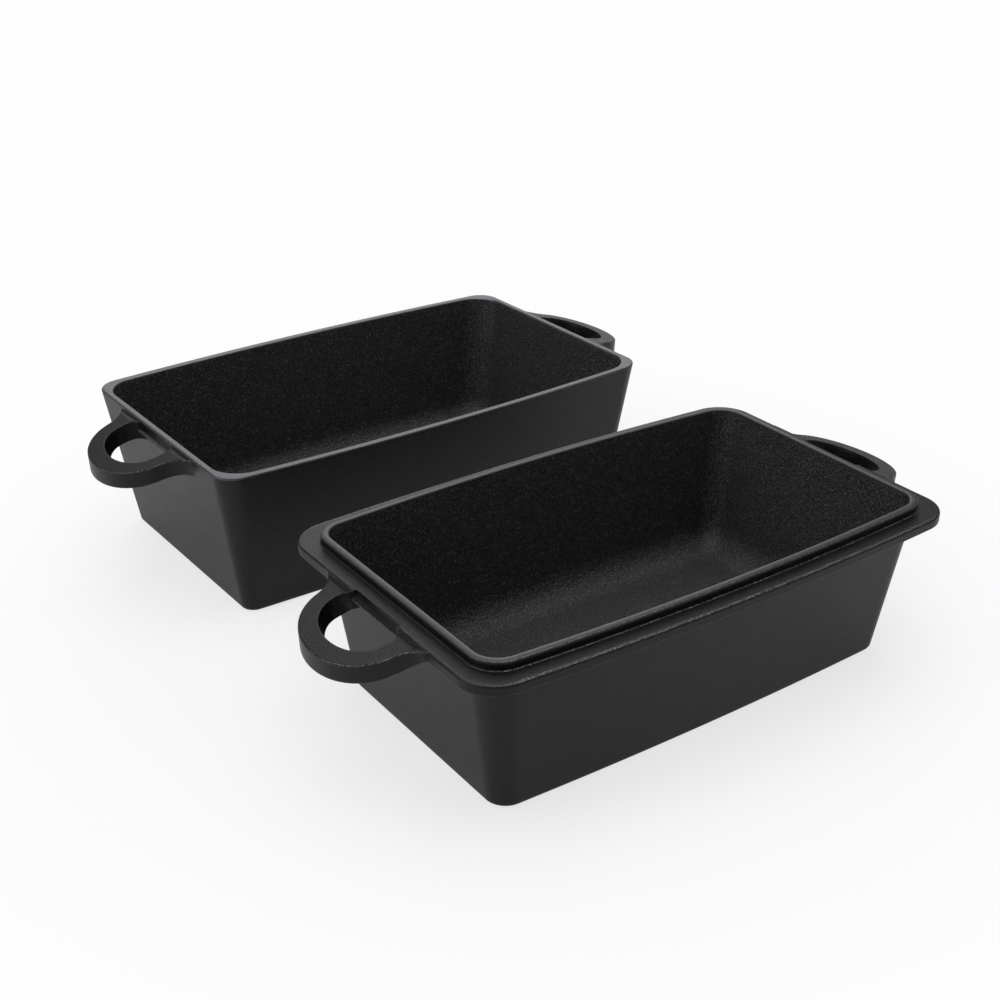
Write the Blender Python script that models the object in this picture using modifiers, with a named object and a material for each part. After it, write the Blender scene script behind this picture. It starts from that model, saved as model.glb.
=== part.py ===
"""Two-part cast-iron loaf pan.

The base pan has a flange with a raised lip. The cover pan's rim fits round that lip once it is
turned over. Each is one casting with a loop handle at either end. Sizes are in metres. The origin
is the middle of the base pan's underside, X runs along the pan and Z is up.
"""

import math

import bmesh
import bpy

# Walls of both pans
WALL = 0.0041
FLOOR = 0.0045
END_DRAFT = 0.154  # lean of the end walls, outward over upward
SIDE_DRAFT = 0.136  # lean of the long walls
SIDE_BOW = 0.0050  # how far the long sides bulge at the top
FOOT_BOW = 0.0026  # and at the underside
FOOT_ROUND = 0.0025  # between the outer walls and the underside
FLOOR_ROUND = 0.0140  # between the inner walls and the floor
FLOOR_CORNER = 0.0040  # plan corners of the flat floor
EDGE = 0.0007  # broken edges of flange, rim and handles

# Base pan
BODY_LENGTH = 0.2597  # outside of the end walls, under the flange
BODY_WIDTH = 0.1523  # outside of the long walls, at the middle of their bulge
BODY_DEPTH = 0.0741  # underside to flange
BODY_CORNER = 0.0150
BODY_FOOT_CORNER = 0.0105
BODY_CAVITY_CORNER = 0.0108
FLANGE_THICKNESS = 0.0049
FLANGE_REACH = 0.0089  # from the lip to the flange's edge
FLANGE_CORNER = 0.0182
LIP_WIDTH = 0.0039
LIP_HEIGHT = 0.0045
LIP_CORNER = 0.0142
LIP_ROUND = 0.0013

# Cover pan
SEAT_GAP_ENDS = 0.0020  # play between the cover's rim and the lip, lengthwise
SEAT_GAP_SIDES = 0.0014  # and across
COVER_HEIGHT = 0.0846
COVER_CORNER = 0.0122
COVER_FOOT_CORNER = 0.0075
COVER_CAVITY_CORNER = 0.0160

# Loop handles, the same on both pans
HANDLE_REACH = 0.0320  # from the flange's end to the tip
HANDLE_WIDTH = 0.0642  # across the loop
HANDLE_NOSE = 0.0248  # length of the loop's elliptical part
GRIP_WIDTH = 0.0092
HANDLE_THICKNESS = 0.0094
HANDLE_DROP = 0.0019  # top of the handle's root below the flange or rim
HANDLE_SLOPE = 0.25  # fall of the handle over its reach
NECK_ROUND = 0.0060  # concave rounds where the handle leaves the pan
HOLE_CORNER = 0.0050  # rounds where the grip's inside meets the flange or wall
HOLE_INSET = 0.0003  # how far those rounds run into it

# Where the cover pan stands beside the base pan
COVER_X = -0.0095
COVER_Y = 0.2180
COVER_TURN = math.radians(1.44)

CORNER_STEPS = 7
SIDE_STEPS = 8
END_STEPS = 2
ROUND_STEPS = 3
FLOOR_ROUND_STEPS = 5
HANDLE_STEPS = 16
NECK_STEPS = 4
WELD = 0.00001


# Scene and materials
def clear_scene():
    for obj in list(bpy.data.objects):
        bpy.data.objects.remove(obj, do_unlink=True)


def new_collection(name):
    collection = bpy.data.collections.new(name)
    bpy.context.scene.collection.children.link(collection)
    return collection


def iron_material(name, shade):
    """Dark, dull cast iron. shade is its linear grey value."""
    material = bpy.data.materials.new(name)
    material.use_nodes = True
    shader = material.node_tree.nodes["Principled BSDF"]
    shader.inputs["Base Color"].default_value = (shade, shade, shade * 1.05, 1.0)
    shader.inputs["Metallic"].default_value = 0.55
    shader.inputs["Roughness"].default_value = 0.5
    return material


# Pan bodies, lofted through level sections
def section(height, half_length, half_width, corner, bow):
    """One closed ring of points: round corners, straight ends and sides that bulge by bow."""
    flat_x = half_length - corner
    flat_y = half_width - corner
    points = []
    for quarter in range(4):
        side_x = 1 if quarter in (0, 3) else -1
        side_y = 1 if quarter in (0, 1) else -1
        for step in range(CORNER_STEPS + 1):
            angle = (quarter + step / CORNER_STEPS) * math.pi / 2
            x = side_x * flat_x + corner * math.cos(angle)
            y = side_y * flat_y + corner * math.sin(angle)
            points.append((x, y))
        along_side = quarter in (0, 2)
        steps = SIDE_STEPS if along_side else END_STEPS
        for step in range(1, steps):
            share = 1 - 2 * step / steps
            if along_side:
                points.append((side_x * flat_x * share, side_y * half_width))
            else:
                points.append((side_x * half_length, side_y * flat_y * share))
    return [(x, y * (1 - bow / half_width * (x / half_length) ** 2), height) for x, y in points]


def arc_steps(steps):
    """Angles from 0 to a right angle."""
    return [step / steps * math.pi / 2 for step in range(steps + 1)]


class LeaningWall:
    """A wall that leans in from its top section down to the underside."""

    def __init__(self, height, half_length, half_width, corner, foot_corner):
        self.height = height
        self.half_length = half_length
        self.half_width = half_width
        self.corner = corner
        self.foot_corner = foot_corner

    def ring(self, height, inset=0.0, corner=None):
        share = height / self.height
        if corner is None:
            corner = self.foot_corner + (self.corner - self.foot_corner) * share
        return section(
            height,
            self.outer_end(height) - inset,
            self.half_width - SIDE_DRAFT * (self.height - height) - inset,
            corner,
            FOOT_BOW + (SIDE_BOW - FOOT_BOW) * share,
        )

    def outer_end(self, height):
        """Distance from the middle to the outside of an end wall at this height."""
        return self.half_length - END_DRAFT * (self.height - height)

    def handle_root(self, height):
        """Where a handle whose root's top is at this height starts, deep in the end wall."""
        return self.outer_end(height) - WALL + EDGE

    def outer_foot(self):
        """Rings round the lower outside edge, from the underside up."""
        rings = []
        for angle in arc_steps(ROUND_STEPS):
            inset = FOOT_ROUND * (1 - math.sin(angle))
            corner = self.foot_corner - inset
            rings.append(self.ring(FOOT_ROUND * (1 - math.cos(angle)), inset, corner))
        return rings

    def cavity(self, corner):
        """Rings down the inner wall and round onto the floor."""
        rings = []
        for angle in arc_steps(FLOOR_ROUND_STEPS):
            height = FLOOR + FLOOR_ROUND * (1 - math.sin(angle))
            share = 1 - math.cos(angle)
            plan_corner = corner + (FLOOR_CORNER - corner) * share
            rings.append(self.ring(height, WALL + FLOOR_ROUND * share, plan_corner))
        return rings


def loft(name, rings, material, collection):
    """A closed solid through the rings, capped at its first and last."""
    shape = bmesh.new()
    loops = [[shape.verts.new(point) for point in ring] for ring in rings]
    count = len(loops[0])
    for lower, upper in zip(loops, loops[1:]):
        for index in range(count):
            after = (index + 1) % count
            shape.faces.new((lower[index], lower[after], upper[after], upper[index]))
    shape.faces.new(reversed(loops[0]))
    shape.faces.new(loops[-1])
    bmesh.ops.recalc_face_normals(shape, faces=shape.faces)
    mesh = bpy.data.meshes.new(name)
    shape.to_mesh(mesh)
    shape.free()
    mesh.materials.append(material)
    pan = bpy.data.objects.new(name, mesh)
    collection.objects.link(pan)
    return pan


# Handles
def nose(centre, reach, half_width, steps):
    """Half an ellipse that points along +X, from its -Y end to its +Y end."""
    angles = [(step / steps - 0.5) * math.pi for step in range(steps + 1)]
    return [(centre + reach * math.cos(a), half_width * math.sin(a)) for a in angles]


def quarter_arc(centre_x, centre_y, radius, start):
    """Quarter of a circle, anticlockwise from the angle start."""
    angles = [start + angle for angle in arc_steps(NECK_STEPS)]
    return [(centre_x + radius * math.cos(a), centre_y + radius * math.sin(a)) for a in angles]


def mirrored(points):
    """The same points on the other side of the X axis, in reverse order."""
    return [(x, -y) for x, y in reversed(points)]


def grip_inside(root, face):
    """Round the finger hole from one root to the other. The pan's own face closes it."""
    tip = FLANGE_END + HANDLE_REACH - GRIP_WIDTH
    centre = FLANGE_END + HANDLE_REACH - HANDLE_NOSE
    half_width = HANDLE_WIDTH / 2 - GRIP_WIDTH
    straight = face - HOLE_INSET
    corner = min(HOLE_CORNER, centre - straight)
    loop = nose(centre, tip - centre, half_width, HANDLE_STEPS)
    rounded = quarter_arc(straight + corner, half_width - corner, corner, math.pi / 2)
    if rounded[0][0] > centre - WELD:
        rounded = rounded[1:]
    far_side = rounded + [(root, half_width - corner)]
    return mirrored(far_side) + loop + far_side


def handle_outline(root, neck, face):
    """U shape: out from the wall, round the neck, sides and nose, and back inside the grip.

    neck is where the outer neck rounds end and face is where the finger hole does.
    """
    tip = FLANGE_END + HANDLE_REACH
    loop = nose(tip - HANDLE_NOSE, HANDLE_NOSE, HANDLE_WIDTH / 2, HANDLE_STEPS)
    round_y = HANDLE_WIDTH / 2 + NECK_ROUND
    far_neck = quarter_arc(neck + NECK_ROUND, round_y, NECK_ROUND, math.pi)
    side = [point for point in reversed(far_neck) if point[0] < loop[-1][0] - WELD]
    far_side = side + [(root, round_y)]
    return mirrored(far_side) + loop + far_side + list(reversed(grip_inside(root, face)))


def flat_outline(name, points, thickness):
    """A plate with this outline, its top at height 0 and its edges broken."""
    curve = bpy.data.curves.new(name, "CURVE")
    curve.dimensions = "2D"
    curve.fill_mode = "BOTH"
    curve.extrude = thickness / 2 - EDGE
    curve.bevel_depth = EDGE
    curve.bevel_resolution = 0
    curve.offset = -EDGE
    spline = curve.splines.new("POLY")
    spline.points.add(len(points) - 1)
    for point, (x, y) in zip(spline.points, points):
        point.co = (x, y, 0, 1)
    spline.use_cyclic_u = True
    plate = bpy.data.objects.new(name, curve)
    bpy.context.scene.collection.objects.link(plate)
    graph = bpy.context.evaluated_depsgraph_get()
    mesh = bpy.data.meshes.new_from_object(plate.evaluated_get(graph))
    bpy.data.objects.remove(plate, do_unlink=True)
    shape = bmesh.new()
    shape.from_mesh(mesh)
    bmesh.ops.remove_doubles(shape, verts=shape.verts, dist=WELD)
    bmesh.ops.translate(shape, verts=shape.verts, vec=(0, 0, -thickness / 2))
    bpy.data.meshes.remove(mesh)
    return shape


def split(shape, point, normal):
    """Adds an edge loop where a plane crosses the shape."""
    parts = list(shape.verts) + list(shape.edges) + list(shape.faces)
    bmesh.ops.bisect_plane(shape, geom=parts, dist=WELD, plane_co=point, plane_no=normal)


def slope_down(shape, crease):
    """Everything beyond the crease falls away by HANDLE_SLOPE."""
    split(shape, (crease, 0, 0), (1, 0, 0))
    for vertex in shape.verts:
        vertex.co.z -= HANDLE_SLOPE * max(0.0, vertex.co.x - crease)


def thin_necks(shape):
    """The necks' underside rises until they are half as thick as the flange."""
    start = HANDLE_WIDTH / 2
    rise = (HANDLE_THICKNESS - FLANGE_THICKNESS / 2) / NECK_ROUND
    for side in (-1, 1):
        split(shape, (0, side * start, 0), (0, 1, 0))
    for vertex in shape.verts:
        if vertex.co.z < -HANDLE_THICKNESS / 2:
            vertex.co.z += rise * max(0.0, abs(vertex.co.y) - start)


def add_handles(pan, shape, height, collection):
    """Joins the handle and its mirror image to the pan, with their root's top at this height."""
    name = pan.name + "_handles"
    bmesh.ops.recalc_face_normals(shape, faces=shape.faces)
    mesh = bpy.data.meshes.new(name)
    shape.to_mesh(mesh)
    shape.free()
    handles = bpy.data.objects.new(name, mesh)
    handles.location.z = height
    handles.parent = pan
    handles.hide_render = True
    handles.display_type = "WIRE"
    collection.objects.link(handles)
    mirror = handles.modifiers.new("other end", "MIRROR")
    mirror.use_axis = (True, False, False)
    mirror.use_mirror_merge = False
    join = pan.modifiers.new("handles", "BOOLEAN")
    join.operation = "UNION"
    join.solver = "EXACT"
    join.object = handles
    pan.data.shade_smooth()
    pan.data.set_sharp_from_angle(angle=math.radians(35))


# Sizes that follow from those above
LIP_RISE = FLANGE_THICKNESS + LIP_HEIGHT
FLANGE_TOP = BODY_DEPTH + FLANGE_THICKNESS
LIP_TOP = BODY_DEPTH + LIP_RISE
LIP_INNER_X = BODY_LENGTH / 2 + END_DRAFT * LIP_RISE - WALL
LIP_INNER_Y = BODY_WIDTH / 2 + SIDE_DRAFT * LIP_RISE - WALL
LIP_OUTER_X = LIP_INNER_X + LIP_WIDTH
LIP_OUTER_Y = LIP_INNER_Y + LIP_WIDTH
FLANGE_END = LIP_OUTER_X + FLANGE_REACH
FLANGE_SIDE = LIP_OUTER_Y + FLANGE_REACH
COVER_END = LIP_OUTER_X + SEAT_GAP_ENDS + WALL
COVER_SIDE = LIP_OUTER_Y + SEAT_GAP_SIDES + WALL


BODY = LeaningWall(BODY_DEPTH, BODY_LENGTH / 2, BODY_WIDTH / 2, BODY_CORNER, BODY_FOOT_CORNER)
COVER = LeaningWall(COVER_HEIGHT, COVER_END, COVER_SIDE, COVER_CORNER, COVER_FOOT_CORNER)


def base_rings():
    """From the middle of the underside up the outside, over the lip and down to the floor."""
    rings = BODY.outer_foot() + [BODY.ring(BODY_DEPTH)]
    for height, inset in (
        (BODY_DEPTH, EDGE),
        (BODY_DEPTH + EDGE, 0.0),
        (FLANGE_TOP - EDGE, 0.0),
        (FLANGE_TOP, EDGE),
    ):
        rings.append(
            section(height, FLANGE_END - inset, FLANGE_SIDE - inset, FLANGE_CORNER, SIDE_BOW)
        )
    rings.append(section(FLANGE_TOP, LIP_OUTER_X, LIP_OUTER_Y, LIP_CORNER, SIDE_BOW))
    for angle in arc_steps(ROUND_STEPS):
        inset = LIP_ROUND * (1 - math.cos(angle))
        height = LIP_TOP - LIP_ROUND * (1 - math.sin(angle))
        corner = LIP_CORNER - inset
        rings.append(section(height, LIP_OUTER_X - inset, LIP_OUTER_Y - inset, corner, SIDE_BOW))
    for angle in arc_steps(ROUND_STEPS):
        outset = LIP_ROUND * (1 - math.sin(angle))
        height = LIP_TOP - LIP_ROUND * (1 - math.cos(angle))
        corner = BODY_CAVITY_CORNER + outset
        rings.append(section(height, LIP_INNER_X + outset, LIP_INNER_Y + outset, corner, SIDE_BOW))
    return rings + BODY.cavity(BODY_CAVITY_CORNER)


def cover_rings():
    """From the middle of the underside up the outside, over the rim and down to the floor."""
    rings = COVER.outer_foot() + [
        COVER.ring(COVER_HEIGHT - EDGE),
        COVER.ring(COVER_HEIGHT, EDGE),
        COVER.ring(COVER_HEIGHT, WALL - EDGE, COVER_CAVITY_CORNER + EDGE),
        COVER.ring(COVER_HEIGHT - EDGE, WALL, COVER_CAVITY_CORNER),
    ]
    return rings + COVER.cavity(COVER_CAVITY_CORNER)


def make_base_pan(collection, helpers):
    pan = loft("base_pan", base_rings(), iron_material("base pan iron", 0.045), collection)
    top = FLANGE_TOP - HANDLE_DROP
    outline = handle_outline(BODY.handle_root(top), FLANGE_END, FLANGE_END)
    shape = flat_outline("base_handle", outline, HANDLE_THICKNESS)
    thin_necks(shape)
    slope_down(shape, FLANGE_END)
    add_handles(pan, shape, top, helpers)


def make_cover_pan(collection, helpers):
    pan = loft("cover_pan", cover_rings(), iron_material("cover pan iron", 0.05), collection)
    pan.location = (COVER_X, COVER_Y, 0)
    pan.rotation_euler.z = COVER_TURN
    top = COVER_HEIGHT - HANDLE_DROP
    neck = COVER.outer_end(top - HANDLE_THICKNESS / 2)
    outline = handle_outline(COVER.handle_root(top), neck, COVER.outer_end(top))
    shape = flat_outline("cover_handle", outline, HANDLE_THICKNESS)
    slope_down(shape, FLANGE_END)
    add_handles(pan, shape, top, helpers)


clear_scene()
parts = new_collection("loaf pan")
joining_shapes = new_collection("joining shapes")
joining_shapes.hide_render = True
make_base_pan(parts, joining_shapes)
make_cover_pan(parts, joining_shapes)
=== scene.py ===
"""Cast-iron loaf pan set on a white studio floor. Shapes are worked out in millimetres."""

import bpy
import numpy as np
from mathutils import Matrix, Vector


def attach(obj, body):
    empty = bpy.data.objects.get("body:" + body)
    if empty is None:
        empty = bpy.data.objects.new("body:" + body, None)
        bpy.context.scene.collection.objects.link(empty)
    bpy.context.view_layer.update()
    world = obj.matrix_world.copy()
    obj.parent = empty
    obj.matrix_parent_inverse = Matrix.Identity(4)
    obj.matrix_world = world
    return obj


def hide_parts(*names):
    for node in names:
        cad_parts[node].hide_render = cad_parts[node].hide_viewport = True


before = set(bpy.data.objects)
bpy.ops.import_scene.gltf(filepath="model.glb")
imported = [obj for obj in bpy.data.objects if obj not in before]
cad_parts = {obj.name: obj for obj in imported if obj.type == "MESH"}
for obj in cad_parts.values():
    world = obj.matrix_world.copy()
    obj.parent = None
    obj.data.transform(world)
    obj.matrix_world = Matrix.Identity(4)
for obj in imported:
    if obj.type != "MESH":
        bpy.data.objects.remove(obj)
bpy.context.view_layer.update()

# Studio
# A wide matt white floor under a soft white sky, with one large softbox overhead, one behind the
# pans and one on the left. The camera stands where the photograph was taken, a little over 0.4 m
# above the floor.
PANS_MIDDLE = (0, 0.1, 0)
CAMERA_PLACE = Vector((-0.4160524, -0.4820881, 0.4111240))
CAMERA_AIM = Vector((0.2810333, 0.5000977, -0.1982578))
CAMERA_ROLL = 0.0065
CAMERA_LENS = 53.951


def linear(hex_code):
    """Linear RGBA of an sRGB hex colour, by the standard's two-part curve."""
    shade = np.array([int(hex_code[i : i + 2], 16) for i in (1, 3, 5)]) / 255
    curve = np.where(shade <= 0.04045, shade / 12.92, ((shade + 0.055) / 1.055) ** 2.4)
    return (*curve, 1.0)


def add_node(tree, kind, inputs=None, **settings):
    """Adds a node. An input given as a socket is linked, any other value is set on it."""
    node = tree.nodes.new(kind)
    for name, value in settings.items():
        setattr(node, name, value)
    for name, value in (inputs or {}).items():
        if isinstance(value, bpy.types.NodeSocket):
            tree.links.new(value, node.inputs[name])
        else:
            node.inputs[name].default_value = value
    return node


scene = bpy.context.scene
scene.view_settings.view_transform = "Standard"

forward = (CAMERA_AIM - CAMERA_PLACE).normalized()
level = forward.cross(Vector((0, 0, 1))).normalized()
upward = level.cross(forward)
right = level * np.cos(CAMERA_ROLL) + upward * np.sin(CAMERA_ROLL)
upright = upward * np.cos(CAMERA_ROLL) - level * np.sin(CAMERA_ROLL)
camera = bpy.data.objects.new("camera", bpy.data.cameras.new("camera"))
camera.data.lens = CAMERA_LENS
camera.matrix_world = Matrix.Translation(CAMERA_PLACE) @ Matrix(
    (right, upright, -forward)
).transposed().to_4x4()
scene.collection.objects.link(camera)
scene.camera = camera

SKY_LIGHT = 0.22  # what the sky gives the pans
SEEN_WHITE = 0.985  # what the camera sees of the sky and of the far floor
sky = bpy.data.worlds.new("soft white sky")
sky.use_nodes = True
sky.node_tree.nodes.clear()
in_view = add_node(sky.node_tree, "ShaderNodeLightPath").outputs["Is Camera Ray"]
sky_level = add_node(
    sky.node_tree,
    "ShaderNodeMapRange",
    {"Value": in_view, "To Min": SKY_LIGHT, "To Max": SEEN_WHITE},
).outputs["Result"]
daylight = add_node(
    sky.node_tree, "ShaderNodeBackground", {"Color": linear("#ffffff"), "Strength": sky_level}
)
add_node(sky.node_tree, "ShaderNodeOutputWorld", {"Surface": daylight.outputs["Background"]})
scene.world = sky


def softbox(name, place, aim, size, power):
    """A square area light at place that faces aim."""
    lamp = bpy.data.lights.new(name, "AREA")
    lamp.shape = "SQUARE"
    lamp.size = size
    lamp.energy = power
    holder = bpy.data.objects.new(name, lamp)
    turn = (Vector(aim) - Vector(place)).to_track_quat("-Z", "Y")
    holder.matrix_world = Matrix.Translation(Vector(place)) @ turn.to_matrix().to_4x4()
    scene.collection.objects.link(holder)


softbox("overhead softbox", (0.1, 0.15, 1.9), PANS_MIDDLE, 2.0, 30)
softbox("back softbox", (1.3, 2.3, 1.3), (0, 0.1, 0.05), 2.0, 12.5)
softbox("left softbox", (-3.0, 0.5, 1.55), PANS_MIDDLE, 2.2, 30)

FLOOR_PAINT = "#f0f0f0"
FLOOR_GLOW = 0.74  # share of the glow that the camera sees near the pans, where their shadow lies
SHADOW_REACH = 0.2  # metres from the middle of the pans to which that share holds
WHITE_REACH = 0.34  # and at which the floor is all glow
MIRRORED_GLOW = 0.6  # share of the glow in a reflection
MIRRORED_SHADE = 0.55  # and its strength there


def matt_white(name):
    """Matt white floor that catches the pans' soft shadow. Seen by the camera or in a reflection
    it glows, as a lit sweep does, and more so away from the pans, so that it reads as white."""
    finish = bpy.data.materials.new(name)
    finish.use_nodes = True
    tree = finish.node_tree
    tree.nodes.clear()
    paint = add_node(tree, "ShaderNodeBsdfDiffuse", {"Color": linear(FLOOR_PAINT)})
    ray = add_node(tree, "ShaderNodeLightPath").outputs
    level = add_node(
        tree,
        "ShaderNodeMapRange",
        {"Value": ray["Is Camera Ray"], "To Min": MIRRORED_SHADE, "To Max": SEEN_WHITE},
    ).outputs["Result"]
    glow = add_node(tree, "ShaderNodeEmission", {"Color": linear("#ffffff"), "Strength": level})
    spot = add_node(tree, "ShaderNodeTexCoord").outputs["Object"]
    away = add_node(
        tree, "ShaderNodeVectorMath", {0: spot, 1: PANS_MIDDLE}, operation="DISTANCE"
    ).outputs["Value"]
    spread = add_node(
        tree,
        "ShaderNodeMapRange",
        {"Value": away, "From Min": SHADOW_REACH, "From Max": WHITE_REACH, "To Min": FLOOR_GLOW},
    ).outputs["Result"]
    seen = add_node(
        tree, "ShaderNodeMath", {0: ray["Is Camera Ray"], 1: spread}, operation="MULTIPLY"
    ).outputs["Value"]
    mirrored = add_node(
        tree,
        "ShaderNodeMath",
        {0: ray["Is Glossy Ray"], 1: ray["Is Transmission Ray"]},
        operation="ADD",
    ).outputs["Value"]
    share = add_node(
        tree,
        "ShaderNodeMath",
        {0: mirrored, 1: MIRRORED_GLOW, 2: seen},
        operation="MULTIPLY_ADD",
    ).outputs["Value"]
    surface = add_node(
        tree,
        "ShaderNodeMixShader",
        {0: share, 1: paint.outputs["BSDF"], 2: glow.outputs["Emission"]},
    )
    add_node(tree, "ShaderNodeOutputMaterial", {"Surface": surface.outputs["Shader"]})
    return finish


FLOOR_REACH = 8.0  # metres each way
floor_mesh = bpy.data.meshes.new("studio_floor")
floor_mesh.from_pydata(
    [(x * FLOOR_REACH, y * FLOOR_REACH, 0) for x, y in ((-1, -1), (1, -1), (1, 1), (-1, 1))],
    [],
    [(0, 1, 2, 3)],
)
studio_floor = bpy.data.objects.new("studio_floor", floor_mesh)
floor_mesh.materials.append(matt_white("matt white floor"))
scene.collection.objects.link(studio_floor)

# Base pan
# One sand casting in grey iron: floor, four drafted walls, a flange and the raised lip that locates
# the cover. Its pebbled skin is seasoned black with oil. Its edges are brighter, partly from wear
# and partly from painted highlights, and its inside is paler with painted sheen.
CORNER_STEPS, SIDE_STEPS, END_STEPS = 20, 208, 116  # points of a ring in each of its parts
FLOOR_THICK = 4.5
FOOT_ROUND = 2.5
FLOOR_ROUND = 14.0
FLOOR_CORNER = 4.0
FLANGE_ARRIS_LOW = 0.5
FLANGE_ARRIS_TOP = 1.1
FLANGE_FILLET = 2.0  # where the wall meets the flange's underside
RIDGE = 138.3  # in each finger hole the flange's end sweeps outward and down from here
RIDGE_RUN = 2.2
RIDGE_LEDGE = 3  # beyond the lip the flange's top is left as it is up to here
RIDGE_TAKES = 1.2  # rings within this many top arrises of the flange's end go with the sweep
RIDGE_LOW = 0.93  # share of the flange's thickness below which the sweep's foot is rubbed bright, partly wear and partly a painted highlight
END_WEAR = 0.15  # share of the long sides' rubbed glints that the flange's ends have
WEAR_RUN = 10  # over which that share is reached
LIP_FILLET = 0.6
LIP_ARRIS = 0.5
LIP_ROUND = 1.3
# Plans: height, half length, half width, plan corner, bulge of the long sides
BASE_FOOT = np.array([0.0, 118.44, 66.07, 10.5, 2.6])
BASE_RIM = np.array([74.1, 129.85, 76.15, 15.0, 5.0])
FLANGE_LOW = np.array([74.1, 140.03, 86.13, 18.2, 5.0])
FLANGE_TOP = np.array([79.0, 140.03, 86.13, 18.2, 5.0])
LIP_LOW = np.array([79.0, 131.13, 77.23, 14.2, 5.0])
LIP_TOP = np.array([83.5, 131.13, 77.23, 14.2, 5.0])
CAVITY_FOOT = np.array([0.0, 114.34, 61.97, 10.8, 2.69])
CAVITY_RIM = np.array([83.5, 127.2, 73.33, 10.8, 5.0])


def plan_between(low, top, height, inset=0.0, corner=None, side_share=1.0):
    """Plans at these heights on the straight line from low to top, with the ends moved in by inset
    and the long sides by side_share of it."""
    height, inset = np.broadcast_arrays(np.atleast_1d(height).astype(float), inset)
    share = ((height - low[0]) / (top[0] - low[0]))[:, None]
    rows = low + (top - low) * share
    rows[:, 1:4] -= inset[:, None] * (1, side_share, 1)
    if corner is not None:
        rows[:, 3] = corner
    return rows


def plans_joining(first, last, steps):
    """Evenly mixed plans strictly between two others."""
    share = np.arange(1, steps)[:, None] / steps
    return first + (last - first) * share


def quarter(radius, steps):
    """Sine and cosine legs of a quarter circle, without its last point."""
    angle = np.arange(steps) / steps * np.pi / 2
    return radius * np.sin(angle), radius * np.cos(angle)


def ring_columns():
    """For each point round a ring: its share of the straight length and width, and the cosine and
    sine that its plan corner adds. Corners are arcs, and sides run between their ends."""
    columns = []
    for turn, (along, across) in enumerate(((1, 1), (-1, 1), (-1, -1), (1, -1))):
        angle = (turn + np.linspace(0, 1, CORNER_STEPS + 1)) * np.pi / 2
        one = np.ones_like(angle)
        columns.append([along * one, across * one, np.cos(angle), np.sin(angle)])
        steps = (SIDE_STEPS, END_STEPS)[turn % 2]
        share = 1 - 2 * np.arange(1, steps) / steps
        one, none = np.ones_like(share), np.zeros_like(share)
        if turn % 2:
            columns.append([along * one, across * share, along * one, none])
        else:
            columns.append([along * share, across * one, none, across * one])
    return np.concatenate(columns, axis=1)


def pan_grid(rows):
    """Rings of points from plan rows: straight part times share plus corner radius times its
    direction. The long sides bulge by the square of the distance along them."""
    along, across, cosine, sine = ring_columns()
    height, length, width, corner, bulge = (column[:, None] for column in rows.T)
    x = along * (length - corner) + corner * cosine
    y = across * (width - corner) + corner * sine
    y = y * (1 - bulge / width * (x / length) ** 2)
    return np.stack([x, y, height + 0 * x], axis=-1)


def outer_foot(foot, rim):
    """Plans from the middle of the underside out and round onto the wall."""
    leg, rest = quarter(FOOT_ROUND, 6)
    around = plan_between(foot, rim, FOOT_ROUND - rest, FOOT_ROUND - leg)
    around[:, 3] = foot[3] - (FOOT_ROUND - leg)
    shares = np.array([0.02, 0.25, 0.5, 0.72, 0.88, 0.96])[:, None]
    middle = around[:1] * shares
    return np.concatenate([middle, around])


def pan_floor(foot, rim, top, steps):
    """Plans down the inner wall from the height top, round onto the floor and to its middle."""
    start = FLOOR_THICK + FLOOR_ROUND
    wall = plan_between(foot, rim, np.linspace(top, start, steps, endpoint=False))
    leg, rest = quarter(FLOOR_ROUND, 11)
    share = 1 - rest / FLOOR_ROUND
    corner = foot[3] + (FLOOR_CORNER - foot[3]) * share
    around = plan_between(foot, rim, start - leg, FLOOR_ROUND - rest, corner)
    edge = plan_between(foot, rim, FLOOR_THICK, FLOOR_ROUND, FLOOR_CORNER)
    shares = np.array([1.0, 0.93, 0.8, 0.62, 0.42, 0.22, 0.02])[:, None]
    middle = edge * shares
    middle[:, 0] = FLOOR_THICK
    return np.concatenate([wall, around, middle])


def crest(rise, leg):
    """One on the middle of a quarter round, falling to nothing at its ends."""
    return 2 * rise * leg / (rise**2 + leg**2)


def stacked(*parts):
    """Joins parts of a profile, each with its own finish, into rows and finish columns."""
    rows = np.concatenate([part[0] for part in parts])
    finish = [np.stack(np.broadcast_arrays(part[0][:, 0], *part[1:])[1:], -1) for part in parts]
    return rows, np.concatenate(finish)


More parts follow.
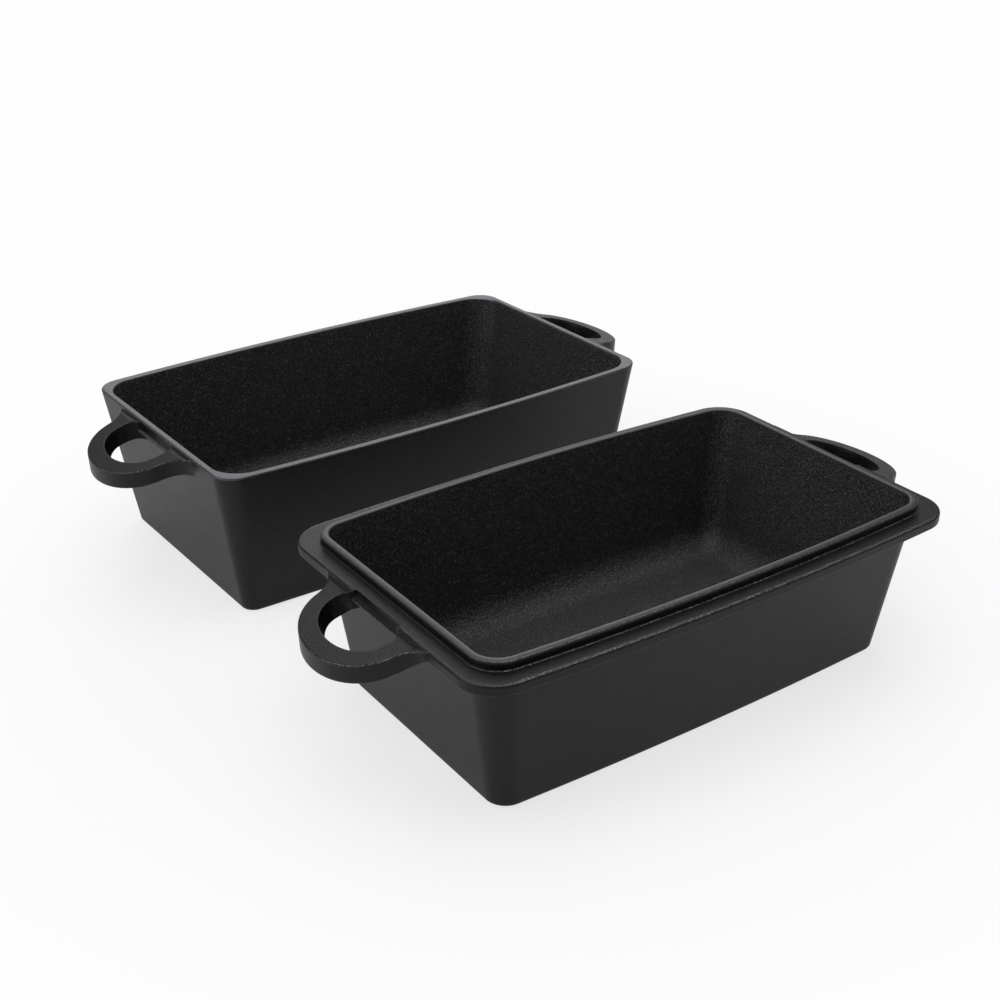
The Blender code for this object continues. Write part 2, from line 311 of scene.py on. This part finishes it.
def base_plans():
    """Profile of the base pan, ring by ring, with each ring's wear and painted highlight, its
    ground metal and painted highlight, and whether it is enclosed.
    """
    bottom, level, lip = FLANGE_LOW[0], FLANGE_TOP[0], LIP_TOP[0]
    wall_top = bottom - FLANGE_FILLET
    low_up, low_back = quarter(FLANGE_ARRIS_LOW, 4)
    top_up, top_back = quarter(FLANGE_ARRIS_TOP, 6)
    fillet_up, fillet_back = quarter(FLANGE_FILLET, 4)
    foot_up, foot_back = quarter(LIP_FILLET, 3)
    arris_up, arris_back = quarter(LIP_ARRIS, 4)
    round_up, round_back = quarter(LIP_ROUND, 6)
    wall = (BASE_FOOT, BASE_RIM)
    flange = (FLANGE_LOW, FLANGE_TOP)
    outer_lip = (LIP_LOW, LIP_TOP)
    cavity = (CAVITY_FOOT, CAVITY_RIM)
    under = plan_between(*wall, bottom, -FLANGE_FILLET)
    edge = plan_between(*flange, bottom, FLANGE_ARRIS_LOW)
    outer = plan_between(*flange, level, FLANGE_ARRIS_TOP)
    inner = plan_between(*outer_lip, level, -LIP_FILLET)
    face = np.linspace(bottom + FLANGE_ARRIS_LOW, level - FLANGE_ARRIS_TOP, 6, endpoint=False)
    lip_face = np.linspace(level + LIP_FILLET, lip - LIP_ARRIS, 3, endpoint=False)
    low_arris = plan_between(
        *flange, bottom + FLANGE_ARRIS_LOW - low_back, FLANGE_ARRIS_LOW - low_up
    )
    top_arris = plan_between(
        *flange, level - FLANGE_ARRIS_TOP + top_up, FLANGE_ARRIS_TOP - top_back
    )
    lip_foot = plan_between(*outer_lip, level + LIP_FILLET - foot_back, foot_up - LIP_FILLET)
    lip_arris = plan_between(*outer_lip, lip - LIP_ARRIS + arris_up, LIP_ARRIS - arris_back)
    lip_flat = plan_between(*outer_lip, lip, np.linspace(LIP_ARRIS, LIP_ROUND + 1.2, 5))
    lip_round = plan_between(*cavity, lip - LIP_ROUND + round_back, round_up - LIP_ROUND)
    return stacked(
        (outer_foot(*wall), 0, 0, 0),
        (plan_between(*wall, np.linspace(FOOT_ROUND, wall_top, 32, endpoint=False)), 0, 0, 0),
        (plan_between(*wall, wall_top + fillet_up, fillet_back - FLANGE_FILLET), 0, 0, 0),
        (under, 0, 0, 0),
        (plans_joining(under, edge, 4), 0, 0, 0),
        (low_arris, 0.3 * crest(low_up, low_back), 0, 0),
        (plan_between(*flange, face), 0, 0, 0),
        (top_arris, 0.7 * (top_up / FLANGE_ARRIS_TOP) ** 5, 0, 0),
        (outer, 0.7, 0, 0),
        (plans_joining(outer, inner, 6), 0, 0, 0),
        # The lip's foot fillet gets a painted highlight line through the wear mask.
        (lip_foot, 1.0 * crest(foot_up, foot_back), 0, 0),
        (plan_between(*outer_lip, lip_face), 0, 0, 0),
        (lip_arris, 0.9 * crest(arris_up, arris_back), 0.4, 0),
        # The lip's top is ground grey, painted brighter towards its inner edge as a highlight.
        (lip_flat, 0, 0.1 + 0.8 * np.linspace(0, 1, 5) ** 2, 0),
        (lip_round, 0, 0.9 * (round_back / LIP_ROUND) ** 4, 0),
        (pan_floor(*cavity, lip - LIP_ROUND, 26), 0, 0, 1),
    )


def lattice_noise(points, wavelength, seed):
    """Noise from -1 to 1: hashed values on a cubic lattice one wavelength apart, joined by
    smoothstep weights."""
    cell = points / wavelength + seed * 7.31
    base = np.floor(cell).astype(np.int64)
    part = cell - base
    part = part * part * (3 - 2 * part)
    total = np.zeros(points.shape[:-1])
    for step in np.ndindex(2, 2, 2):
        key = (base + step) * (73856093, 19349663, 83492791)
        mixed = (key[..., 0] ^ key[..., 1] ^ key[..., 2]) & 0x7FFFFFFF
        mixed = mixed * 1103515245 + 12345 & 0x7FFFFFFF
        mixed = (mixed >> 11 ^ mixed) * 69069 & 0x7FFFFFFF
        weight = np.where(step, part, 1 - part).prod(axis=-1)
        total += weight * ((mixed >> 9) % 4096 / 2047.5 - 1)
    return total


def grid_normals(grid):
    """Unit normals: across the closed direction crossed with the open one."""
    around = np.roll(grid, -1, axis=1) - np.roll(grid, 1, axis=1)
    along = np.gradient(grid, axis=0)
    normal = np.cross(around, along)
    return normal / np.maximum(np.linalg.norm(normal, axis=-1, keepdims=True), 1e-9)


def cast_skin(grid, edge, inside):
    """Sinks the surface by under a tenth of a millimetre, in long waves from the sand and shorter
    ones that are deeper inside, and by up to 0.18 mm more in small chips along the edges marked for
    wear and painted highlight. It never stands proud of the drawn shape."""
    depth = 0.012 * (1 + lattice_noise(grid, 16.0, 1))
    depth += (0.004 + 0.03 * inside) * (1 + lattice_noise(grid, 5.0, 2))
    depth += 0.09 * edge * (1 + lattice_noise(grid, 2.3, 3))
    return grid - grid_normals(grid) * depth[..., None]


def skinned(name, grid, attributes, finish):
    """A closed mesh over a grid whose second direction is closed. Its first and last rings are
    each closed on their middle. Millimetres become metres."""
    rings, count, _ = grid.shape
    ends = np.stack([grid[0].mean(axis=0), grid[-1].mean(axis=0)])
    points = np.concatenate([grid.reshape(-1, 3), ends]) / 1000
    ring = np.arange(count)
    after = np.roll(ring, -1)
    start = np.arange(rings - 1)[:, None] * count
    quads = np.stack(
        [start + ring, start + after, start + count + after, start + count + ring], -1
    )
    last = (rings - 1) * count
    first_cap = np.stack([after, ring, np.full(count, rings * count)], -1)
    last_cap = np.stack([last + ring, last + after, np.full(count, rings * count + 1)], -1)
    mesh = bpy.data.meshes.new(name)
    faces = quads.reshape(-1, 4).tolist() + first_cap.tolist() + last_cap.tolist()
    mesh.from_pydata(points.tolist(), [], faces)
    mesh.shade_smooth()
    for label, values in attributes.items():
        layer = mesh.attributes.new(label, "FLOAT", "POINT")
        full = np.concatenate([values.reshape(-1), values[0, :1], values[-1, :1]])
        layer.data.foreach_set("value", full.astype(np.float32))
    mesh.materials.append(finish)
    piece = bpy.data.objects.new(name, mesh)
    scene.collection.objects.link(piece)
    return piece


# The pale specks are painted glints, and the inside's paler colours are painted sheen. The ground
# and bare greys are ground and worn metal, and they also paint highlights on some edges.
OUTSIDE_DARK = "#040404"
OUTSIDE_PAINTED_SPECK = "#161618"
INSIDE_SHEEN_DARK = "#1e1e1f"
INSIDE_PAINTED_SPECK = "#626266"
GROUND_AND_HIGHLIGHT_GREY = "#646468"
BARE_AND_HIGHLIGHT_GREY = "#8a8a90"
# Pitches in millimetres. Foundry sand leaves grains of about 0.3 mm, too fine to show from here, so
# they are drawn as coarse as 1 mm, and the painted glint specks, glints and pebbles with them.
GRAIN_PITCH, GLINT_PITCH, PAINTED_SPECK_PITCH, PEBBLE_PITCH = 1.0, 1.1, 1.2, 2.0
BLOTCH_PITCH = 22.0  # patches of thicker and thinner oil
SATIN = (0.31, 0.35)  # roughness of the oil skin
INSIDE_SATIN = -0.03  # added to it inside
SKIN_IOR = 1.4  # baked oil is nearer 1.5; lowered until the walls' sheen matched the photograph


def seasoned_iron(name):
    """Sand-cast iron seasoned with baked oil: near-black and satin, with pale specks all over that
    are painted glints, paler inside as painted sheen and more strongly pebbled there, with bare
    grey glints where edges are rubbed, painted highlights on some edges, and a dull ground rim."""
    finish = bpy.data.materials.new(name)
    finish.use_nodes = True
    tree = finish.node_tree
    shader = tree.nodes["Principled BSDF"]
    place = add_node(tree, "ShaderNodeTexCoord").outputs["Object"]
    # The wear mask and the ground mask carry real wear and ground metal, and painted highlights as
    # well.
    wear_and_highlight, ground_and_highlight, inside = (
        add_node(tree, "ShaderNodeAttribute", attribute_name=label).outputs["Fac"]
        for label in ("wear_and_highlight", "ground_and_highlight", "inside")
    )

    def noise(pitch, detail, roughness):
        """Noise with lumps roughly pitch millimetres apart: its cells are pitch / 1.6 wide."""
        values = {"Vector": place, "Scale": 1600 / pitch, "Detail": detail, "Roughness": roughness}
        return add_node(tree, "ShaderNodeTexNoise", values).outputs["Fac"]

    def ranged(value, start, end, low, high):
        """Value mapped from start..end to low..high, clamped."""
        values = {"Value": value, "From Min": start, "From Max": end, "To Min": low, "To Max": high}
        return add_node(tree, "ShaderNodeMapRange", values).outputs["Result"]

    def mixed(share, first, second):
        """Colour between two others."""
        values = {"Factor": share, "A": first, "B": second}
        return add_node(tree, "ShaderNodeMix", values, data_type="RGBA").outputs["Result"]

    grain = noise(GRAIN_PITCH, 2.0, 0.6)
    pebble = noise(PEBBLE_PITCH, 2.0, 0.6)
    blotch = noise(BLOTCH_PITCH, 3.0, 0.55)
    glint = ranged(noise(GLINT_PITCH, 1.0, 0.5), 0.46, 0.62, 0.0, 1.0)
    wear_and_glint = add_node(
        tree, "ShaderNodeMath", {0: wear_and_highlight, 1: glint}, operation="MULTIPLY"
    ).outputs["Value"]
    # Painted glints: pale specks in the base colour stand in for glints off the pebbles. Inside,
    # the base is paler as well, as painted sheen.
    painted_speck = ranged(noise(PAINTED_SPECK_PITCH, 2.0, 0.6), 0.52, 0.7, 0.0, 1.0)
    outer = mixed(painted_speck, linear(OUTSIDE_DARK), linear(OUTSIDE_PAINTED_SPECK))
    inner = mixed(painted_speck, linear(INSIDE_SHEEN_DARK), linear(INSIDE_PAINTED_SPECK))
    skin = mixed(inside, outer, inner)
    skin = mixed(ground_and_highlight, skin, linear(GROUND_AND_HIGHLIGHT_GREY))
    skin = mixed(wear_and_glint, skin, linear(BARE_AND_HIGHLIGHT_GREY))
    tree.links.new(skin, shader.inputs["Base Color"])
    metal_and_highlight = add_node(tree, "ShaderNodeMath", {0: wear_and_glint, 1: ground_and_highlight}, operation="MAXIMUM")
    tree.links.new(metal_and_highlight.outputs["Value"], shader.inputs["Metallic"])
    satin = add_node(
        tree,
        "ShaderNodeMath",
        {0: inside, 1: INSIDE_SATIN, 2: ranged(blotch, 0.3, 0.7, *SATIN)},
        operation="MULTIPLY_ADD",
    )
    tree.links.new(satin.outputs["Value"], shader.inputs["Roughness"])
    pebbles = add_node(
        tree,
        "ShaderNodeBump",
        {"Height": pebble, "Strength": ranged(inside, 0, 1, 0.15, 1.0), "Distance": 0.0006},
    )
    grains = add_node(
        tree,
        "ShaderNodeBump",
        {
            "Height": grain,
            "Strength": ranged(ground_and_highlight, 0, 1, 1.0, 0.3),
            "Distance": 0.0002,
            "Normal": pebbles.outputs["Normal"],
        },
    )
    tree.links.new(grains.outputs["Normal"], shader.inputs["Normal"])
    shader.inputs["IOR"].default_value = SKIN_IOR
    return finish


IRON = seasoned_iron("seasoned cast iron")
HOLE_SIDE = 22.0  # about half the width of the finger hole that the sloped bands fill
HOLE_EASE = 5.0  # over which they ease out


def faded(side):
    """One between a handle's arms, eased to nothing where the finger hole's corners round in."""
    share = np.clip((HOLE_SIDE - side) / HOLE_EASE, 0, 1)
    return share * share * (3 - 2 * share)


def finish_columns(finish, count):
    """Values of each ring for wear and painted highlight, for ground metal and painted highlight,
    and for being inside, repeated round it.
    """
    labels = ("wear_and_highlight", "ground_and_highlight", "inside")
    return {name: np.repeat(finish[:, [i]], count, axis=1) for i, name in enumerate(labels)}


def cast_pan(name, grid, attributes):
    """A pan's casting from its drawn grid."""
    skin = cast_skin(grid, attributes["wear_and_highlight"], attributes["inside"])
    return skinned(name, skin, attributes, IRON)


plans, finish = base_plans()
grid = pan_grid(plans)
attributes = finish_columns(finish, grid.shape[1])
end, side, height = np.abs(grid[..., 0]), np.abs(grid[..., 1]), grid[..., 2]
in_flange = (height >= FLANGE_LOW[0]) & (height <= FLANGE_TOP[0])
flange_edge = in_flange & (end > LIP_LOW[1] + RIDGE_LEDGE)
drop = (FLANGE_TOP[0] - height) / (FLANGE_TOP[0] - FLANGE_LOW[0])
sweep = RIDGE + RIDGE_RUN * drop**3
swept = end > FLANGE_LOW[1] - RIDGE_TAKES * FLANGE_ARRIS_TOP
moved = np.where(swept, sweep, np.minimum(end, sweep)) - end
between_arms = faded(side) * flange_edge
grid[..., 0] += np.sign(grid[..., 0]) * moved * between_arms
attributes["wear_and_highlight"] *= np.clip((LIP_LOW[1] - end) / WEAR_RUN, END_WEAR, 1)
# Painted highlight: a bright line along the sweep's foot between the arms, given through the wear
# mask.
attributes["wear_and_highlight"] += between_arms * (drop > RIDGE_LOW) * (end > FLANGE_LOW[1] - 1)
base_shell = cast_pan("base_pan_casting", grid, attributes)
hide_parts("base_pan")
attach(base_shell, "base_pan")

# Base pan's loop handles
# Part of the same casting: a flat bar bent round a finger hole, which flares where it meets the
# flange and falls a little towards its nose. Its sides are drafted to leave the sand.
HANDLE_THICK = 9.4
HANDLE_DROP = 1.9  # top of the bar below the flange or rim
HANDLE_FALL = 0.25  # down over each millimetre out
HANDLE_DRAFT = 0.05  # outer side, inward and down
HOLE_DRAFT = -0.25  # finger hole, narrower lower down
HALF_WIDTH = 32.1
NOSE = 24.8  # length of the bar's elliptical end
NOSE_START = 147.23
GRIP = 9.2  # width of the bar
NECK_ROUND = 11.0  # outside, where the bar leaves the flange
HOLE_ROUND = 5.0  # where the hole's top meets the flange or wall
ARM_ROUND = 11.0  # and under the flange, where it meets the wall
TOP_ARRIS = 0.55
UNDER_ARRIS = 0.5
FLANGE_FACE = FLANGE_TOP[1]
FLANGE_DEPTH = FLANGE_TOP[0] - HANDLE_DROP - FLANGE_LOW[0]  # its underside below the bar's top
# Lumps of stray metal: place, radius and height, with the place across the bar on its own side
HOLE_LUMP = (142.2, 19.9, 77.6), 1.8, 1.1
NECK_LUMP = (141.6, -36.0, 77.2), 1.3, 0.8


def concave(distance, radius):
    """Height of a concave quarter round at this distance from the face that it meets."""
    gap = np.clip(1 - distance / radius, 0, 1)
    return radius * (1 - np.sqrt(1 - gap**2))


def handle_edges(root, neck_round, face, wall, arm_round):
    """Plan points, station by station from one root to the other, of the bar's outside, of its
    finger hole at the top and of the hole lower down, where it reaches in to the wall. Near the
    pan each station is square to the handle's axis; on the nose all follow ellipses."""
    start = np.linspace(root, face, 16, endpoint=False)
    angle = np.linspace(0, np.pi / 2, 44, endpoint=False)
    straight = np.concatenate([start, face + (NOSE_START - face) * (1 - np.cos(angle))])
    bend = np.linspace(np.pi / 2, 0, 71)
    lines = []
    for inset, met, side, radius in (
        (0, face, 1, neck_round),
        (GRIP, face, -1, HOLE_ROUND),
        (GRIP, wall, -1, arm_round),
    ):
        out = np.concatenate([straight, NOSE_START + (NOSE - inset) * np.cos(bend)])
        arch = np.concatenate([np.ones_like(straight), np.sin(bend)])
        across = (HALF_WIDTH - inset) * arch + side * concave(out - met, radius)
        line = np.stack([out, across], -1)
        lines.append(np.concatenate([line * (1, -1), line[-2::-1]]))
    return lines


def square_to(line, towards):
    """Unit normals of a plan line on the side of the points towards."""
    along = np.gradient(line, axis=0)
    normal = np.stack([along[:, 1], -along[:, 0]], -1)
    normal /= np.linalg.norm(normal, axis=1, keepdims=True)
    return normal * np.sign((normal * (towards - line)).sum(axis=1, keepdims=True))


def handle_grid(top, root, neck_round, face, lean, wall, arm_round, top_flare, thin):
    """Sections of the bar carried along its stations: up the hole, over the top, down the outside
    and back under. The pan's face leans in below the top, and the top flare lifts the surface to
    it by a quarter round. thin raises the underside beyond the bar's own width."""
    outside, within, within_low = handle_edges(root, neck_round, face, wall, arm_round)
    to_middle = square_to(outside, within)
    outward = np.stack([0 * outside[:, 0], np.sign(outside[:, 1])], -1)
    on_arm = outside[:, :1] < NOSE_START
    to_outside = np.where(on_arm, outward, square_to(within, outside))
    up, back = quarter(TOP_ARRIS, 5)
    low_up, low_back = quarter(UNDER_ARRIS, 4)
    faces = np.linspace(HANDLE_THICK - UNDER_ARRIS, TOP_ARRIS, 12, endpoint=False)
    taper, hole_taper = HANDLE_DRAFT * HANDLE_THICK, HOLE_DRAFT * HANDLE_THICK
    # Columns: share from hole to outside, inset from hole, inset from outside, depth, wear and
    # painted highlight
    columns = []
    for depth in faces:
        columns.append((0, HOLE_DRAFT * depth, 0, depth, 0))
    for rise, leg in zip(up, back):
        columns.append((0, TOP_ARRIS - leg, 0, TOP_ARRIS - rise, 0.2 * crest(rise, leg)))
    for share in np.linspace(0, 1, 20):
        columns.append((share, TOP_ARRIS, TOP_ARRIS, 0, 0))
    for rise, leg in zip(up[:0:-1], back[:0:-1]):
        # The outer top arris carries wear and a painted highlight line.
        columns.append((1, 0, TOP_ARRIS - leg, TOP_ARRIS - rise, 0.6 * crest(rise, leg)))
    for depth in faces[::-1]:
        columns.append((1, 0, HANDLE_DRAFT * depth, depth, 0))
    for rise, leg in zip(low_up, low_back):
        columns.append((1, 0, taper + UNDER_ARRIS - leg, HANDLE_THICK - UNDER_ARRIS + rise, 0))
    for share in np.linspace(1, 0, 20):
        columns.append((share, hole_taper + UNDER_ARRIS, taper + UNDER_ARRIS, HANDLE_THICK, 0))
    for rise, leg in zip(low_up[:0:-1], low_back[:0:-1]):
        columns.append((0, hole_taper + UNDER_ARRIS - leg, 0, HANDLE_THICK - UNDER_ARRIS + rise, 0))
    share, hole_inset, side_inset, depth, wear_and_highlight = np.array(columns).T
    low = depth / HANDLE_THICK
    hole_line = within[:, None] * (1 - low[:, None]) + within_low[:, None] * low[:, None]
    hole_line += to_outside[:, None] * hole_inset[:, None]
    side_line = outside[:, None] + to_middle[:, None] * side_inset[:, None]
    plan = hole_line + (side_line - hole_line) * share[:, None]
    along, across = plan[..., 0], plan[..., 1]
    fall = HANDLE_FALL * np.maximum(0, along - FLANGE_FACE)
    beyond = np.maximum(0, np.abs(across) - HALF_WIDTH) * thin
    height = top - fall - depth + low * beyond
    height += (1 - low) * concave(along - face, top_flare)
    near = np.clip((NOSE_START - along) / (NOSE_START - face), 0, 1)
    along = along - lean * depth * near
    return np.stack([along, across, height], -1), np.broadcast_to(wear_and_highlight, along.shape)


def lumped(grid, side, *lumps):
    """Small lumps of stray metal: a bell curve pushed out at each place, which side mirrors."""
    for (along, across, up), radius, height in lumps:
        away = np.linalg.norm(grid - np.array((along, side * across, up)), axis=-1) / radius
        grid = grid + grid_normals(grid) * (height * np.exp(-(away**2)))[..., None]
    return grid


def placed(grid, turn, shift_x, shift_y):
    """The grid turned about the upright axis, then shifted."""
    cosine, sine = np.cos(turn), np.sin(turn)
    x, y, z = np.moveaxis(grid, -1, 0)
    return np.stack([x * cosine - y * sine + shift_x, x * sine + y * cosine + shift_y, z], -1)


def cast_handle(name, grid, wear_and_highlight):
    """One handle's casting from its drawn grid."""
    attributes = {"wear_and_highlight": wear_and_highlight, "ground_and_highlight": 0 * wear_and_highlight, "inside": 0 * wear_and_highlight}
    return skinned(name, cast_skin(grid, wear_and_highlight, 0 * wear_and_highlight), attributes, IRON)


handle, wear_and_highlight = handle_grid(
    top=FLANGE_TOP[0] - HANDLE_DROP,
    root=127.0,
    neck_round=NECK_ROUND,
    face=FLANGE_FACE,
    lean=0.0,
    wall=129.0,
    arm_round=ARM_ROUND,
    top_flare=1.7,
    thin=(HANDLE_THICK - FLANGE_DEPTH + 0.3) / NECK_ROUND,
)
for name, turn, side in (("base_pan_right_handle", 0.0, 1), ("base_pan_left_handle", np.pi, -1)):
    marked = lumped(handle, side, HOLE_LUMP, NECK_LUMP)
    piece = cast_handle(name, placed(marked, turn, 0, 0), wear_and_highlight)
    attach(piece, "base_pan")

# Cover pan
# A second casting, plainer: four drafted walls that end in a flat ground rim, which fits round the
# base pan's lip once it is turned over. It stands beside the base pan, turned by about a degree.
COVER_FOOT = np.array([0.0, 124.2, 71.22, 7.5, 2.6])
COVER_RIM = np.array([84.6, 137.23, 82.73, 12.2, 5.0])
COVER_CAVITY_FOOT = np.array([0.0, 120.1, 67.12, 16.0, 2.6])
COVER_CAVITY_RIM = np.array([84.6, 133.13, 78.63, 16.0, 5.0])
RIM_ARRIS = 1.1
RIM_ROUND = 1.0
SHARP = 0.5  # share of the rim's arris on the long sides, which are ground closer
PAD_FOOT = 78.3  # in each finger hole a band under the rim slopes outward and down to here
PAD_TOP = 83.5
PAD_SLOPE = 0.15
PAD_PROUD = -0.2  # the band's top from the rim's end
FLASH = 1.0  # the fin of flash left along the band's lower edge
FLASH_TALL = 0.3
FLASH_WEAR = 0.55  # height over which the fin is rubbed bare, partly wear and partly a painted highlight
COVER_SHIFT = (-9.5, 218.0)
COVER_TURN = np.radians(1.44)
COVER_END_START = 130  # beyond this along the pan is its end wall


def cover_plans():
    """Profile of the cover pan, ring by ring, with each ring's wear and painted highlight, its
    ground metal and painted highlight, and whether it is enclosed.
    """
    rim = COVER_RIM[0]
    out_up, out_back = quarter(RIM_ARRIS, 6)
    in_up, in_back = quarter(RIM_ROUND, 4)
    outside = (COVER_FOOT, COVER_RIM)
    cavity = (COVER_CAVITY_FOOT, COVER_CAVITY_RIM)
    bevel = plan_between(
        *outside, rim - RIM_ARRIS + out_up, RIM_ARRIS - out_back, side_share=SHARP
    )
    outer = plan_between(*outside, rim, RIM_ARRIS, side_share=SHARP)
    inner = plan_between(*cavity, rim, -RIM_ROUND, side_share=0.6)
    edge = plan_between(*cavity, rim - RIM_ROUND + in_back, in_up - RIM_ROUND, side_share=0.6)
    below = np.linspace(FOOT_ROUND, PAD_FOOT - 0.25, 36)
    pad = PAD_FOOT + np.array([-0.12, 0, 0.25, 0.5, 1.3, 2.2, 3.1, 4.1, 5.1])
    return stacked(
        (outer_foot(*outside), 0, 0, 0),
        (plan_between(*outside, below), 0, 0, 0),
        (plan_between(*outside, pad), 0, 0, 0),
        (bevel, 0.2, 0.45, 0),
        (outer, 0.2, 1, 0),
        (plans_joining(outer, inner, 4), 0, 1, 0),
        (edge, 0.2, 1, 0),
        (pan_floor(*cavity, rim - RIM_ROUND, 30), 0, 0, 1),
    )


plans, finish = cover_plans()
grid = pan_grid(plans)
attributes = finish_columns(finish, grid.shape[1])
end, side, height = np.abs(grid[..., 0]), np.abs(grid[..., 1]), grid[..., 2]
outer_wall = np.arange(len(plans))[:, None] < np.argmax(plans[:, 0])
on_end = outer_wall & (end > COVER_END_START)
on_pad = on_end & (height >= PAD_FOOT) & (height < PAD_TOP)
flash = on_pad * (height < PAD_FOOT + FLASH_TALL)
band = COVER_RIM[1] + PAD_PROUD + PAD_SLOPE * (PAD_TOP - height) + FLASH * flash
between_arms = faded(side) * on_pad
grid[..., 0] += np.sign(grid[..., 0]) * np.clip(band - end, 0, None) * between_arms
# The fin's bare, ground grey line is partly wear and partly a painted highlight.
for label in ("wear_and_highlight", "ground_and_highlight"):
    attributes[label] += 0.9 * between_arms * (height < PAD_FOOT + FLASH_WEAR)
grid = placed(grid, COVER_TURN, *COVER_SHIFT)
cover_shell = cast_pan("cover_pan_casting", grid, attributes)
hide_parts("cover_pan")
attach(cover_shell, "cover_pan")

# Cover pan's loop handles
# The same bars as the base pan's, part of the cover's casting. They stand on the end walls just
# under the rim, and those walls lean in below them.
COVER_NECK_ROUND = 14.0
COVER_FACE = 136.9  # end wall at the height of the bar's top
COVER_LUMP = (139.5, 20.0, 82.6), 1.5, 0.8

handle, wear_and_highlight = handle_grid(
    top=COVER_RIM[0] - HANDLE_DROP,
    root=133.6,
    neck_round=COVER_NECK_ROUND,
    face=COVER_FACE,
    lean=0.154,
    wall=COVER_FACE,
    arm_round=8.0,
    top_flare=1.0,
    thin=0.0,
)
for name, turn, side in (("cover_pan_right_handle", 0.0, 1), ("cover_pan_left_handle", np.pi, -1)):
    marked = lumped(handle, side, COVER_LUMP)
    piece = cast_handle(name, placed(marked, turn + COVER_TURN, *COVER_SHIFT), wear_and_highlight)
    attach(piece, "cover_pan")
